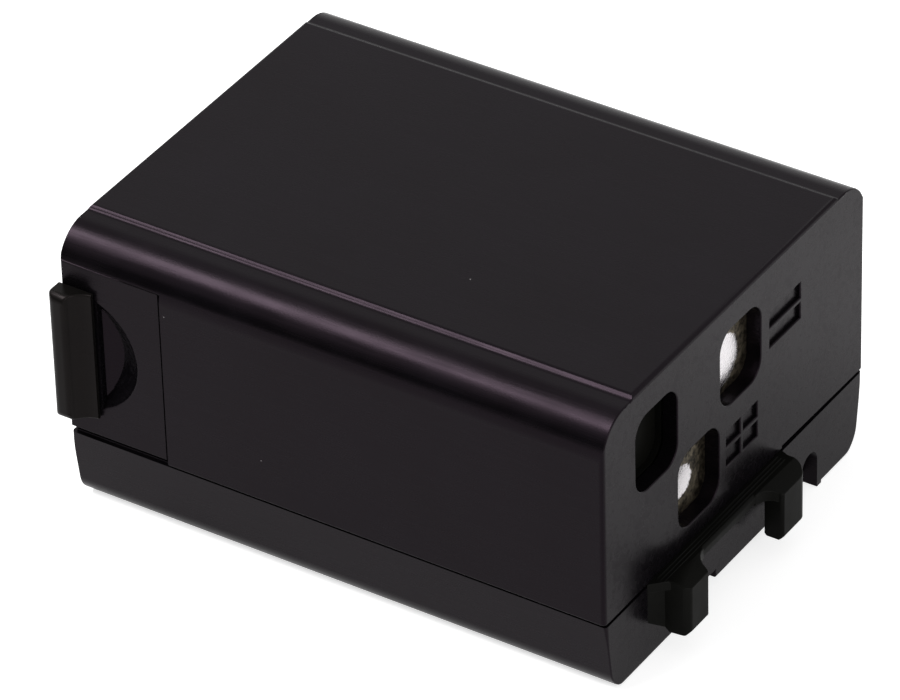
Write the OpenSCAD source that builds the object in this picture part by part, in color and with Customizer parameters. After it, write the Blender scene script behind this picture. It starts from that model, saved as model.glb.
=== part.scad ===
// Rechargeable battery pack for a two-way radio.
// +X is the end with the terminal windows and the hooks, -X the latch end, +Z up.
// The origin is the centre of the bottom face that the pack rests on.

/* [Case] */
// Length of the case
case_l = 75; // [72:0.5:84]
// Width of the case
case_w = 59.3; // [58:0.1:64]
// Height of the seam above the resting face
seam_h = 11; // [10:0.5:13]
// Height of the upper case above the seam
upper_h = 28.75; // [28.75:0.25:33]
// Wall thickness of the case
wall = 2; // [1.8:0.1:2.2]
// Thickness of the end wall at the latch
latch_wall = 1.5; // [1.2:0.1:1.8]
// Width of the raised plate on top
plate_w = 47.2; // [40:0.2:48]
// Height of the raised plate above the shoulders
plate_step = 0.5; // [0.3:0.1:0.8]
// Radius of the rounded shoulders
shoulder_r = 5; // [4:0.5:6]
// Radius of the rounded edges at the ends
end_r = 0.6; // [0.4:0.1:1]
// Set-back of the lower case behind the upper one at the seam
seam_set_back = 0.2; // [0.1:0.05:0.3]
// Draft angle of the lower case sides
draft = 8; // [4:0.5:10]
// Radius of the lower long edges
base_r = 3.7; // [3:0.1:4.5]

/* [Relief and notch in the lower case] */
// Depth of the relief under the hook end
relief_d = 1.9; // [1.4:0.1:2.2]
// Length of the relief along the case
relief_l = 7; // [5:0.5:7]
// Width of the relief
relief_w = 29.4; // [26:0.2:32]
// Sideways place of the middle of the relief
relief_y = 0.6; // [-1:0.1:2]
// Height of the deeper step in the relief
step_h = 3; // [2.4:0.1:3.2]
// Width of the deeper step
step_w = 9.2; // [8:0.2:10]
// Depth of the deeper step into the end
step_d = 4; // [3:0.2:4.4]
// Width of the notch
notch_w = 3.6; // [3:0.1:4.4]
// Sideways place of the middle of the notch
notch_y = 17; // [16.6:0.1:19]
// Height of the notch
notch_h = 6; // [5:0.1:6.4]
// Depth of the notch into the end
notch_d = 3; // [2.4:0.1:3.2]
// Wall behind the notch and the relief
notch_wall = 1; // [0.8:0.1:1.2]

/* [Terminal windows] */
// Width of a window
window_w = 9.2; // [8:0.1:10]
// Height of a window
window_h = 10.7; // [9:0.1:11]
// Corner radius of a window
window_r = 2.6; // [2:0.1:3.5]
// Sideways place of the blank window
blank_y = -17.9; // [-20:0.1:-17]
// Height of the blank window above the seam
blank_z = 19; // [17:0.1:20]
// Sideways place of the plus window
plus_y = -8.6; // [-9:0.1:-8]
// Height of the plus window above the seam
plus_z = 7.9; // [7:0.1:9]
// Sideways place of the minus window
minus_y = 0.9; // [0:0.1:2]
// Height of the minus window above the seam
minus_z = 19.4; // [18:0.1:20]

/* [Contacts] */
// Thickness of the contact strip
contact_t = 0.3; // [0.2:0.05:0.4]
// Overlap of a contact behind its window edge
contact_lap = 1.2; // [0.8:0.1:1.4]
// Rest of the carrier behind the pocket at the blank window
blank_rest = 0.5; // [0.4:0.05:0.6]
// Width of the tail that runs down to the wire
tail_w = 4; // [3:0.1:5]
// Thickness of the contact carrier
carrier_t = 1.3; // [1:0.1:1.5]
// Radius of the wire holes in the carrier
wire_hole_r = 1.1; // [1:0.05:1.3]

/* [Hook strip] */
// Sideways place of the middle between the hooks
hooks_y = -5; // [-5.4:0.1:-4.6]
// Length of the strip along the seam
strip_l = 30.6; // [30:0.2:31]
// How far the strip stands out of the end
strip_out = 2; // [1.6:0.1:2.3]
// Thickness of the strip
strip_t = 1.3; // [1.1:0.1:1.6]
// Distance between the middles of the two prongs
prong_pitch = 21.6; // [20:0.1:23]
// Width of a prong
prong_w = 4.8; // [4:0.1:5.5]
// Reach of the flat face of the near prong from its middle to its outer side
near_face = 1.7; // [1:0.1:2]
// Reach of the outer corner of the near prong
near_corner = 2.6; // [2.2:0.1:2.8]
// Reach of the flat face of the far prong from its middle to its outer side
far_face = 2.4; // [1.8:0.1:2.6]
// Reach of the outer corner of the far prong
far_corner = 4; // [3.2:0.1:4.1]
// Thickness of a prong
prong_t = 2.6; // [2:0.1:2.8]
// How far the prongs reach out of the end
prong_out = 4.3; // [4.1:0.1:5]
// How far the prongs hang below the seam
prong_drop = 7.6; // [6:0.1:8]
// Fall of the top of the hooks towards the tip
prong_fall = 0.7; // [0.3:0.1:1]
// Cut off the outer corner of the near prong
near_cut = 0.6; // [0.4:0.1:1]
// Cut off the outer corner of the far prong
far_cut = 1.4; // [0.8:0.1:1.6]
// Cut off the other edges of the prongs
prong_cut = 0.3; // [0.2:0.05:0.4]
// Sideways sweep of the flange from the strip out to a prong
sweep_w = 2.5; // [2:0.1:3]
// Distance from the wall where the web of a hook starts to flare
flare_x = 1.2; // [1:0.1:1.5]
// Rise of the lower edge of the web from the tip to the wall
web_rise = 1.9; // [1.5:0.1:2.2]
// Thickness of the web that closes the outer side of a hook
hook_web = 1.6; // [1.2:0.1:2]
// Depth of the rib that holds the strip inside the case
keeper_d = 3.6; // [3:0.1:4]
// Thickness of the rib that holds the strip inside the case
keeper_t = 1.2; // [1:0.1:1.4]

/* [Latch] */
// Depth of the flat latch panel
panel_d = 0.25; // [0.15:0.05:0.35]
// Length of the latch panel along the case
panel_l = 14.2; // [13.6:0.1:16]
// Height of the latch panel above the seam
panel_h = 24.6; // [24:0.1:25.4]
// Height of the open gap in the seam below the latch panel
gap_h = 0.45; // [0.3:0.05:0.6]
// Height of the open gap in the seam beside the hook strip
end_gap_h = 0.3; // [0.2:0.05:0.4]
// Depth of the open gaps in the seam
gap_d = 1; // [0.6:0.1:1.2]
// Radius of the finger scoop at the surface
scoop_r = 8.3; // [7.6:0.1:8.8]
// Depth of the finger scoop
scoop_d = 2.1; // [1.8:0.1:2.3]
// Radius of the flat floor of the scoop
floor_r = 4.5; // [4:0.1:5]
// Width of the sloping rim of the scoop
rim_w = 1; // [0.6:0.1:1.4]
// Depth of the sloping rim of the scoop
rim_d = 0.8; // [0.5:0.1:1]
// Width of the ledge inside the rim
ledge_w = 0.2; // [0.1:0.05:0.3]
// Distance of the middle of the scoop from the end of the case
scoop_in = 2.1; // [1.6:0.1:2.6]
// Height of the middle of the scoop and the bar above the seam
latch_z = 12.45; // [12:0.05:13]
// Wall behind the scoop
scoop_wall = 1.6; // [1.3:0.1:1.8]
// Length of the finger bar up and down
bar_h = 18; // [17:0.5:20]
// Width of the finger bar at its foot
bar_w = 5; // [4.8:0.1:5.4]
// Height of the finger bar above its foot
bar_out = 2.7; // [2.4:0.1:3]
// Width of the crest of the finger bar
bar_crest = 1.6; // [1.2:0.1:2]
// Radius of the outer edge of the finger bar
bar_r = 1.2; // [0.8:0.1:1.5]
// Height of the thin edge of the finger bar at the scoop
bar_edge = 0.5; // [0.4:0.1:0.8]
// Radius of the hollow in the flank of the finger bar
hollow_r = 3.5; // [3.2:0.1:5]
// Turn of the hollow at the thin edge of the bar in degrees
hollow_turn = 12; // [8:1:16]
// Radius of the top and bottom of the finger bar
bar_end_r = 1; // [0.6:0.1:1.1]
// How far the finger bar stands past the end of the case
bar_past = 0.4; // [0.2:0.1:0.6]
// Travel of the latch
travel = 1.4; // [1:0.1:1.4]
// Thickness of the latch slider
slider_t = 1.2; // [1:0.1:1.2]
// Height of the latch slider
slider_h = 13.2; // [12:0.2:14]
// Running clearance of the slider in its slots
slot_gap = 0.15; // [0.1:0.05:0.2]
// How deep the slider enters a finger bar
bar_grip = 1.2; // [1:0.1:1.3]
// How far the catch tooth stands out of the end
tooth_out = 1.2; // [0.8:0.1:1.4]
// Width of the catch tooth
tooth_w = 16; // [12:1:24]
// Thickness of the catch tooth at its root
tooth_h = 4; // [3:0.1:5]

/* [Latch springs] */
// Outer radius of a spring
spring_r = 2.4; // [2.2:0.1:2.8]
// Radius of the spring wire
spring_wire_r = 0.3; // [0.25:0.05:0.35]
// Turns of a spring
spring_turns = 6; // [5:1:7]
// Sideways distance of a spring from the middle
spring_y = 14; // [10:1:18]
// Length of a post inside a spring
post_l = 3; // [2:0.5:4]
// Clearance of a post inside a spring
post_gap = 0.25; // [0.2:0.05:0.35]
// Thickness of the spring bulkhead
bulkhead_t = 1.5; // [1.2:0.1:1.8]

/* [Cells] */
// Diameter of a cell
cell_d = 17.2; // [16.8:0.1:17.2]
// Room between a cell end and the case wall for the links and wires
end_room = 2.65; // [2.6:0.05:3]
// Space between two cells
cell_gap = 0.1; // [0.05:0.05:0.1]
// Radius of the positive cap
cap_r = 4; // [3:0.5:5]
// Height of the positive cap
cap_h = 0.9; // [0.6:0.1:1]
// Columns of cells along the case
columns = 3; // [3:1:3]
// Thickness of a nickel link
link_t = 0.2; // [0.15:0.05:0.3]
// Width of a nickel link
link_w = 6; // [5:0.5:8]
// Thickness of an insulating sheet
sheet_t = 0.3; // [0.2:0.1:0.4]
// Thickness of the base pad
pad_t = 0.5; // [0.4:0.1:0.6]
// Radius of the thermal cutout
cutout_r = 3.2; // [2.8:0.1:3.4]
// Length of the thermal cutout
cutout_l = 14; // [10:1:20]
// Distance of the thermal cutout behind the cell ends
cutout_in = 1; // [0.6:0.1:2]
// Radius of a wire
wire_r = 0.75; // [0.6:0.05:0.8]
// Space between the two wires that run side by side
wire_gap = 0.4; // [0.2:0.1:0.6]

/* [Hidden] */

$fn = 48;
eps = 0.01;
over = 5;

case_h = seam_h + upper_h;
half_l = case_l / 2;
half_w = case_w / 2;
hook_end = half_l;
latch_end = -half_l;
seat_gap = 0.1;

// Space inside the case
in_x1 = hook_end - wall;
in_x0 = latch_end + latch_wall;
in_y = half_w - wall;
in_z0 = wall;
in_z1 = case_h - wall;
in_shoulder = in_z1 - plate_step;

// Lower case section
lower_half = half_w - seam_set_back;
base_cz = base_r;
side_run = (seam_h - base_cz) * tan(draft);
base_cy = lower_half - side_run - base_r / cos(draft);
tangent_y = base_cy + base_r * cos(draft);
tangent_z = base_cz - base_r * sin(draft);

// Contacts lie against the inside of the end wall, the carrier behind them
contact_x = in_x1;
carrier_x = contact_x - contact_t;
cells_x1 = carrier_x - carrier_t - 2 * seat_gap;

// Cells
cell_r = cell_d / 2;
cell_l = 2 * (in_y - end_room);
cell_pitch = cell_d + cell_gap;
cell_z0 = in_z0 + pad_t + seat_gap + cell_r;
cell_z1 = cell_z0 + cell_pitch;
cells_top = cell_z1 + cell_r;
cells_x0 = cells_x1 - cell_pitch * (columns - 1) - cell_d;
valley_z = (cell_z0 + cell_z1) / 2;
end_y = cell_l / 2;
function column_x(i) = cells_x1 - cell_r - i * cell_pitch;

// Latch
bar_z = seam_h + latch_z;
panel_y = half_w - panel_d;
slider_x0 = in_x0 + slot_gap;
slider_x1 = slider_x0 + slider_t;
slot_x1 = slider_x1 + travel + slot_gap;
scoop_x = latch_end + scoop_in;
scoop_x0 = slot_x1 + 0.6;
backing_y = half_w - panel_d - scoop_d - scoop_wall;
bar_x0 = latch_end - bar_past;
bar_foot = panel_y + slot_gap;
bulkhead_x1 = cells_x0 - seat_gap;
bulkhead_x0 = bulkhead_x1 - bulkhead_t;
post_r = spring_r - 2 * spring_wire_r - post_gap;
bar_pocket = bar_grip + 0.1;

// Box from its lowest to its highest corner
module block(lo, hi) {
  translate(lo) cube(hi - lo);
}

// Rounded rectangle of a window, standing in the YZ plane and running along X
module window_prism(y, z, w, h, r, x0, x1) {
  translate([x0, y, z]) rotate([90, 0, 90]) linear_extrude(x1 - x0) {
    square([w, h - 2 * r], center = true);
    square([w - 2 * r, h], center = true);
    for (sy = [-1, 1], sz = [-1, 1])
      translate([sy * (w / 2 - r), sz * (h / 2 - r)]) circle(r);
  }
}

// Cross-section of the upper case in the YZ plane, moved in by the wall
module upper_section(inset) {
  r = shoulder_r - inset;
  cy = half_w - shoulder_r;
  top = case_h - plate_step;
  cz = top - shoulder_r;
  translate([-half_w + inset, seam_h]) square([2 * (half_w - inset), cz - seam_h]);
  translate([-cy, seam_h]) square([2 * cy, top - inset - seam_h]);
  for (s = [-1, 1]) translate([s * cy, cz]) circle(r);
}

// Cross-section of the lower case in the YZ plane, moved in by the wall
module lower_section(inset) {
  r = base_r - inset;
  ty = base_cy + r * cos(draft);
  tz = base_cz - r * sin(draft);
  ly = lower_half - inset / cos(draft);
  polygon([
    [-ly, seam_h], [-ty, tz], [-base_cy, base_cz - r],
    [base_cy, base_cz - r], [ty, tz], [ly, seam_h]
  ]);
  for (s = [-1, 1]) translate([s * base_cy, base_cz]) circle(r);
}

// A YZ section carried along X
module along_x(x0, x1) {
  translate([x0, 0, 0]) rotate([90, 0, 90]) linear_extrude(x1 - x0) children();
}

// Rounded plan and side outlines that ease the edges round both ends
module eased_ends(width, r) {
  intersection() {
    translate([0, 0, -over]) linear_extrude(case_h + 2 * over) {
      square([case_l, width - 2 * r], center = true);
      square([case_l - 2 * r, width], center = true);
      for (sx = [-1, 1], sy = [-1, 1])
        translate([sx * (half_l - r), sy * (width / 2 - r)]) circle(r);
    }
    translate([0, half_w + over, 0]) rotate([90, 0, 0]) linear_extrude(case_w + 2 * over) {
      translate([-half_l, r]) square([case_l, case_h - 2 * r]);
      translate([-half_l + r, 0]) square([case_l - 2 * r, case_h]);
      for (sx = [-1, 1], z = [r, case_h - r])
        translate([sx * (half_l - r), z]) circle(r);
    }
  }
}

// Slots in both long sides where the slider passes through
module slider_slots() {
  for (s = [-1, 1])
    block([in_x0, s > 0 ? in_y - over : -half_w - over, bar_z - slider_h / 2 - slot_gap],
          [slot_x1, s > 0 ? half_w + over : -in_y + over, bar_z + slider_h / 2 + slot_gap]);
}

// Scooped recess beside the finger bar on one side
module scoop(s) {
  intersection() {
    translate([scoop_x, s * panel_y, bar_z]) rotate([90 * s, 0, 0])
      rotate_extrude($fn = 96) polygon([
        [0, -1], [scoop_r, -1], [scoop_r, 0], [scoop_r - rim_w, rim_d],
        [scoop_r - rim_w - ledge_w, rim_d], [floor_r, scoop_d], [0, scoop_d]
      ]);
    block([scoop_x0, s > 0 ? panel_y - over : -half_w - 1, bar_z - 2 * scoop_r],
          [scoop_x0 + 2 * scoop_r, s > 0 ? half_w + 1 : -panel_y + over, bar_z + 2 * scoop_r]);
  }
}

// Thicker wall that backs the scoop inside the case
module scoop_backing(s) {
  block([in_x0 - eps, s > 0 ? backing_y : -in_y - eps, bar_z - scoop_r - scoop_wall],
        [scoop_x + scoop_r + scoop_wall, s > 0 ? in_y + eps : -backing_y, bar_z + scoop_r + scoop_wall]);
}

// Flat panel that is sunk a little into one long side at the latch end
module panel_cut(s) {
  block([latch_end - 1, s > 0 ? panel_y : -half_w - 1, seam_h - 1],
        [latch_end + panel_l, s > 0 ? half_w + 1 : -panel_y, seam_h + panel_h]);
}

// Open gap in the seam below the latch panel
module seam_gap(s) {
  block([latch_end - 1, s > 0 ? panel_y - gap_d : -half_w - 1, seam_h - 1],
        [latch_end + panel_l, s > 0 ? half_w + 1 : -panel_y + gap_d, seam_h + gap_h]);
}

// Narrower gap in the seam between the hook strip and the far side
module end_gap() {
  block([hook_end - gap_d, strip_y1 + seat_gap, seam_h - 1],
        [hook_end + 1, half_w - gap_d, seam_h + end_gap_h]);
}

module upper_case() {
  color([0.15, 0.135, 0.145]) difference() {
    union() {
      difference() {
        intersection() {
          union() {
            along_x(latch_end, hook_end) upper_section(0);
            along_x(latch_end, hook_end)
              translate([-plate_w / 2, case_h - plate_step - 1]) square([plate_w, plate_step + 1]);
          }
          eased_ends(case_w, end_r);
        }
        along_x(in_x0, in_x1) {
          upper_section(wall);
          translate([-plate_w / 2 + wall, seam_h]) square([plate_w - 2 * wall, in_z1 - seam_h]);
        }
        block([in_x0, -in_y, seam_h - 1], [in_x1, in_y, seam_h + 1]);
      }
      for (s = [-1, 1]) scoop_backing(s);
    }
    for (s = [-1, 1]) {
      panel_cut(s);
      seam_gap(s);
      scoop(s);
    }
    slider_slots();
    end_gap();
    window_prism(blank_y, seam_h + blank_z, window_w, window_h, window_r, in_x1 - 1, hook_end + 1);
    window_prism(plus_y, seam_h + plus_z, window_w, window_h, window_r, in_x1 - 1, hook_end + 1);
    window_prism(minus_y, seam_h + minus_z, window_w, window_h, window_r, in_x1 - 1, hook_end + 1);
    block([latch_end - 1, -tooth_w / 2 - slot_gap, bar_z - tooth_h / 2 - slot_gap],
          [in_x0 + 1, tooth_w / 2 + slot_gap, bar_z + tooth_h / 2 + slot_gap]);
  }
}

// Notch beside the far hook: round top, open below
module notch(inset) {
  x0 = hook_end - notch_d - inset;
  r = notch_w / 2 + inset;
  translate([x0, notch_y, notch_h - notch_w / 2]) rotate([90, 0, 90])
    linear_extrude(hook_end - x0 + 1) {
      circle(r);
      translate([-r, -notch_h]) square([2 * r, notch_h]);
    }
}

module lower_case() {
  color([0.15, 0.135, 0.145]) difference() {
    union() {
      difference() {
        intersection() {
          along_x(latch_end, hook_end) lower_section(0);
          eased_ends(2 * lower_half, end_r);
        }
        difference() {
          along_x(in_x0, in_x1) intersection() {
            lower_section(wall);
            translate([-half_w, in_z0]) square([case_w, case_h]);
          }
          block([hook_end - relief_l - wall, relief_y - relief_w / 2 - wall, 0],
                [hook_end, relief_y + relief_w / 2 + wall, relief_d + notch_wall]);
          block([hook_end - step_d - notch_wall, relief_y - relief_w / 2 - wall, 0],
                [hook_end, relief_y - relief_w / 2 + step_w + wall, step_h + notch_wall]);
        }
        block([in_x0, -lower_half + wall, seam_h - 1], [in_x1, lower_half - wall, seam_h + 1]);
      }
      intersection() {
        notch(notch_wall);
        along_x(0, hook_end - eps) lower_section(eps);
      }
    }
    notch(0);
    block([hook_end - relief_l, relief_y - relief_w / 2, -1],
          [hook_end + 1, relief_y + relief_w / 2, relief_d]);
    block([hook_end - step_d, relief_y - relief_w / 2, -1],
          [hook_end + 1, relief_y - relief_w / 2 + step_w, step_h]);
    block([in_x1 - 1, strip_y0 - seat_gap / 2, seam_h - strip_t],
          [hook_end + 1, strip_y1 + seat_gap / 2, seam_h + 1]);
  }
}

// Hook strip, let into the top of the lower case wall
strip_y0 = hooks_y - strip_l / 2;
strip_y1 = hooks_y + strip_l / 2;
prong_x1 = hook_end + prong_out;
prong_x0 = prong_x1 - prong_t;
strip_x1 = hook_end + strip_out;
tip_z = seam_h - prong_drop;

// Side profiles in the XZ plane, carried along Y
module along_y(y0, y1) {
  translate([0, y1, 0]) rotate([90, 0, 0]) linear_extrude(y1 - y0) children();
}

// Sloping flange that joins the strip to a prong
module flange_profile() {
  polygon([
    [hook_end, seam_h], [strip_x1, seam_h], [prong_x1, seam_h - prong_fall],
    [prong_x1, seam_h - prong_fall - strip_t], [hook_end, seam_h - strip_t]
  ]);
}

// Prong with a gap behind it
module prong_profile() {
  polygon([
    [hook_end, seam_h], [strip_x1, seam_h], [prong_x1, seam_h - prong_fall],
    [prong_x1, tip_z + 2 * prong_cut], [prong_x1 - 2 * prong_cut, tip_z], [prong_x0 + prong_cut, tip_z],
    [prong_x0, tip_z + prong_cut], [prong_x0, seam_h - strip_t], [hook_end, seam_h - strip_t]
  ]);
}

// Web that closes the gap on the outer side
module web_profile() {
  polygon([
    [hook_end, seam_h], [prong_x1, seam_h - prong_fall], [prong_x1 - 2 * prong_cut, tip_z],
    [prong_x0, tip_z], [hook_end, tip_z + web_rise]
  ]);
}

// Outer side of a hook seen from above: flat face, corner, and the flare to the wall
function hook_side(face_y, corner_y, cut, root_y) = [
  [prong_x1, face_y], [prong_x1 - cut, corner_y - (cut < prong_t / 2 ? prong_cut : 0)],
  [hook_end + flare_x, corner_y], [hook_end - eps, root_y]
];

// Plan of the flange: its inner side sweeps from the strip out to the prong
module flange_plan(side) {
  y0 = -prong_w / 2 - sweep_w;
  run = prong_x1 - strip_x1;
  sweep = [for (a = [0:15:75]) [prong_x1 - run * cos(a), y0 + sweep_w * sin(a)]];
  polygon(concat([[hook_end - eps, y0]], sweep, [[prong_x1, -prong_w / 2 + prong_cut]], side));
}

// Plan of the prong below the flange
module prong_plan(side) {
  y0 = -prong_w / 2;
  polygon(concat([
    [hook_end - eps, y0], [prong_x1 - prong_cut, y0], [prong_x1, y0 + prong_cut]
  ], side));
}

// One hook: the prong hangs from the flange, and a web closes its outer side
module hook(s, side) {
  y0 = -prong_w / 2 - sweep_w - 1;
  y1 = side[3].y + 1;
  translate([0, hooks_y + s * prong_pitch / 2, 0]) scale([1, s, 1]) {
    intersection() {
      along_y(y0, y1) flange_profile();
      linear_extrude(case_h) flange_plan(side);
    }
    intersection() {
      along_y(y0, y1) prong_profile();
      linear_extrude(case_h) prong_plan(side);
    }
    intersection() {
      along_y(side[2].y - hook_web, y1) web_profile();
      linear_extrude(case_h) prong_plan(side);
    }
  }
}

module hook_strip() {
  root = strip_l / 2 - prong_pitch / 2;
  color([0.16, 0.16, 0.14]) {
    block([in_x1 - keeper_t, strip_y0, seam_h - strip_t], [hook_end, strip_y1, seam_h]);
    intersection() {
      along_y(strip_y0, strip_y1) polygon([
        [hook_end - eps, seam_h], [strip_x1 - prong_cut, seam_h], [strip_x1, seam_h - prong_cut],
        [strip_x1, seam_h - strip_t], [hook_end - eps, seam_h - strip_t]
      ]);
      linear_extrude(case_h) polygon([
        [hook_end - eps, strip_y0], [strip_x1, strip_y0 + strip_out],
        [strip_x1, strip_y1 - strip_out], [hook_end - eps, strip_y1]
      ]);
    }
    block([in_x1 - keeper_t, strip_y0, seam_h - keeper_d], [in_x1 - eps, strip_y1, seam_h]);
    hook(-1, hook_side(near_face, near_corner, near_cut, root));
    hook(1, hook_side(far_face, far_corner, far_cut, root - seat_gap));
  }
}

// Contact: flat plate behind its window, with a tail that runs down to the wire
module contact(y, z, tail_z) {
  w = window_w + 2 * contact_lap;
  h = window_h + 2 * contact_lap;
  window_prism(y, seam_h + z, w, h, window_r + contact_lap, carrier_x, contact_x);
  block([carrier_x, y - tail_w / 2, tail_z], [contact_x, y + tail_w / 2, seam_h + z]);
}

module contact_plus() {
  color([0.75, 0.74, 0.7]) contact(plus_y, plus_z, seam_h + plus_z - 1);
}

module contact_minus() {
  color([0.75, 0.74, 0.7]) contact(minus_y, minus_z, minus_wire_z - tail_w / 2);
}

// Insulating plate between the contacts and the cells
module contact_carrier() {
  x0 = carrier_x - carrier_t;
  color([0.1, 0.1, 0.1]) difference() {
    block([x0, -in_y + 1, seam_h + 0.5], [carrier_x, in_y - 1, in_shoulder - shoulder_r]);
    window_prism(blank_y, seam_h + blank_z, window_w, window_h, window_r, x0 + blank_rest, carrier_x + 1);
    for (at = [[plus_y, valley_z], [minus_y, minus_wire_z]])
      translate([x0 - 1, at.x, at.y]) rotate([0, 90, 0]) cylinder(h = carrier_t + 2, r = wire_hole_r);
  }
}

// One cell lying along Y; its positive cap points to +Y when s is 1
module cell(col, z, s) {
  translate([column_x(col), 0, z]) rotate([-90 * s, 0, 0]) translate([0, 0, -end_y])
    rotate_extrude() polygon([
      [0, 0], [cell_r - 0.8, 0], [cell_r, 0.4], [cell_r, cell_l - cap_h - 0.4],
      [cell_r - 0.6, cell_l - cap_h], [cell_r - 1.4, cell_l - cap_h - 0.3],
      [cap_r + 0.6, cell_l - cap_h - 0.3], [cap_r, cell_l], [0, cell_l]
    ]);
}

module cell_1() { color([0.45, 0.6, 0.45]) cell(0, cell_z0, 1); }
module cell_2() { color([0.45, 0.6, 0.45]) cell(0, cell_z1, -1); }
module cell_3() { color([0.45, 0.6, 0.45]) cell(1, cell_z1, 1); }
module cell_4() { color([0.45, 0.6, 0.45]) cell(1, cell_z0, -1); }
module cell_5() { color([0.45, 0.6, 0.45]) cell(2, cell_z0, 1); }
module cell_6() { color([0.45, 0.6, 0.45]) cell(2, cell_z1, -1); }

// Upright link that joins the two cells of one column at the near end
module near_link(col) {
  color([0.72, 0.72, 0.7])
    block([column_x(col) - link_w / 2, -end_y - link_t, cell_z0 - link_w / 2],
          [column_x(col) + link_w / 2, -end_y, cell_z1 + link_w / 2]);
}

// Level link that joins two neighbouring columns at the far end
module far_link(col, z) {
  color([0.72, 0.72, 0.7])
    block([column_x(col + 1) - link_w / 2, end_y, z - link_w / 2],
          [column_x(col) + link_w / 2, end_y + link_t, z + link_w / 2]);
}

module near_link_1() { near_link(0); }
module near_link_2() { near_link(1); }
module near_link_3() { near_link(2); }
module far_link_1() { far_link(0, cell_z1); }
module far_link_2() { far_link(1, cell_z0); }

// Insulating sheet between the cell ends and one long side
module insulator(s) {
  y1 = in_y - seat_gap;
  color([0.55, 0.5, 0.4])
    block([cells_x0 + 1, s > 0 ? y1 - sheet_t : -y1, seam_h + seat_gap],
          [cells_x1 - 1, s > 0 ? y1 : -y1 + sheet_t, in_shoulder - shoulder_r]);
}

module near_insulator() { insulator(-1); }
module far_insulator() { insulator(1); }

module top_pad() {
  color([0.3, 0.3, 0.3])
    block([cells_x0 + 1, -plate_w / 2 + wall + 1, cells_top + seat_gap],
          [cells_x1 - 1, plate_w / 2 - wall - 1, in_z1]);
}

module base_pad() {
  color([0.3, 0.3, 0.3])
    block([cells_x0 + 1, -base_cy + 2, in_z0], [column_x(0) + 2, base_cy - 2, in_z0 + pad_t]);
}

// Protector in the valley between four cells, with both leads at the far end
cutout_x = (column_x(0) + column_x(1)) / 2;
module thermal_cutout() {
  color([0.85, 0.83, 0.78]) translate([cutout_x, end_y - cutout_l - cutout_in, valley_z]) rotate([-90, 0, 0])
    rotate_extrude() polygon([
      [0, 0], [cutout_r - 0.5, 0], [cutout_r, 0.5],
      [cutout_r, cutout_l - 0.5], [cutout_r - 0.5, cutout_l], [0, cutout_l]
    ]);
}

// A wire swept along its route: rings of eight points joined by a skin
wire_sides = 8;
function unit(v) = v / norm(v);
function heading(p, i) =
  i == 0 ? unit(p[1] - p[0]) :
  i == len(p) - 1 ? unit(p[i] - p[i - 1]) :
  unit(unit(p[i] - p[i - 1]) + unit(p[i + 1] - p[i]));
function side_of(t) = unit(cross(t, abs(t.z) > 0.9 ? [0, 1, 0] : [0, 0, 1]));
// Sideways direction of each ring, carried on from the ring before without a twist
function carried(p, i) =
  let (t = heading(p, i))
  i == 0 ? side_of(t) :
  let (u = carried(p, i - 1)) unit(u - (u * t) * t);
function ring(p, i) =
  let (t = heading(p, i), u = carried(p, i), v = cross(t, u))
  [for (k = [0:wire_sides - 1])
    p[i] + wire_r * (cos(360 * k / wire_sides) * u + sin(360 * k / wire_sides) * v)];
module wire(p) {
  n = len(p);
  points = [for (i = [0:n - 1]) each ring(p, i)];
  skin = [for (i = [0:n - 2], k = [0:wire_sides - 1])
    let (a = i * wire_sides + k, b = i * wire_sides + (k + 1) % wire_sides)
    [a, a + wire_sides, b + wire_sides, b]];
  first = [for (k = [0:wire_sides - 1]) k];
  last = [for (k = [wire_sides - 1:-1:0]) (n - 1) * wire_sides + k];
  polyhedron(points, concat([first], [last], skin));
}

// Room for the wires beyond the far cell ends, and the valley that they run back through
wire_y = end_y + 1.6 * wire_r;
valley_x = cells_x1 - 1.9 * wire_r;
bend = 0.8 * wire_r;
wire_rise = 2 * wire_r + wire_gap;
minus_wire_z = valley_z + wire_rise;

module lead_plus() {
  x = column_x(0);
  color("firebrick") wire([
    [x, end_y, cell_z0], [x, end_y + bend / 2, cell_z0], [x + bend / 2, wire_y - bend / 2, cell_z0 + bend],
    [x + 2 * bend, wire_y, cell_z0 + 4 * bend], [valley_x - 2 * bend, wire_y, valley_z - 4 * bend],
    [valley_x - bend / 2, wire_y - bend, valley_z - bend], [valley_x, end_y - bend, valley_z],
    [valley_x, plus_y + 3 * bend, valley_z], [valley_x, plus_y + 2 * bend, valley_z],
    [valley_x + bend / 2, plus_y + bend / 2, valley_z], [valley_x + 2 * bend, plus_y, valley_z],
    [carrier_x, plus_y, valley_z]
  ]);
}

module lead_cutout() {
  x = column_x(2);
  color("black") wire([
    [x, end_y, cell_z1], [x, end_y + bend / 2, cell_z1], [x + bend / 2, wire_y - bend / 2, cell_z1 - bend],
    [x + 3 * bend, wire_y, cell_z1 - 4 * bend], [x + 10 * bend, wire_y, valley_z + 3 * bend],
    [x + 15 * bend, wire_y, valley_z + 1.5 * bend], [cutout_x - 6 * bend, wire_y, valley_z + bend],
    [cutout_x - 4 * bend, wire_y, valley_z + bend / 2], [cutout_x - 2.5 * bend, wire_y - bend, valley_z],
    [cutout_x - 2 * bend, end_y, valley_z], [cutout_x - 2 * bend, end_y - cutout_in, valley_z]
  ]);
}

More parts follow.
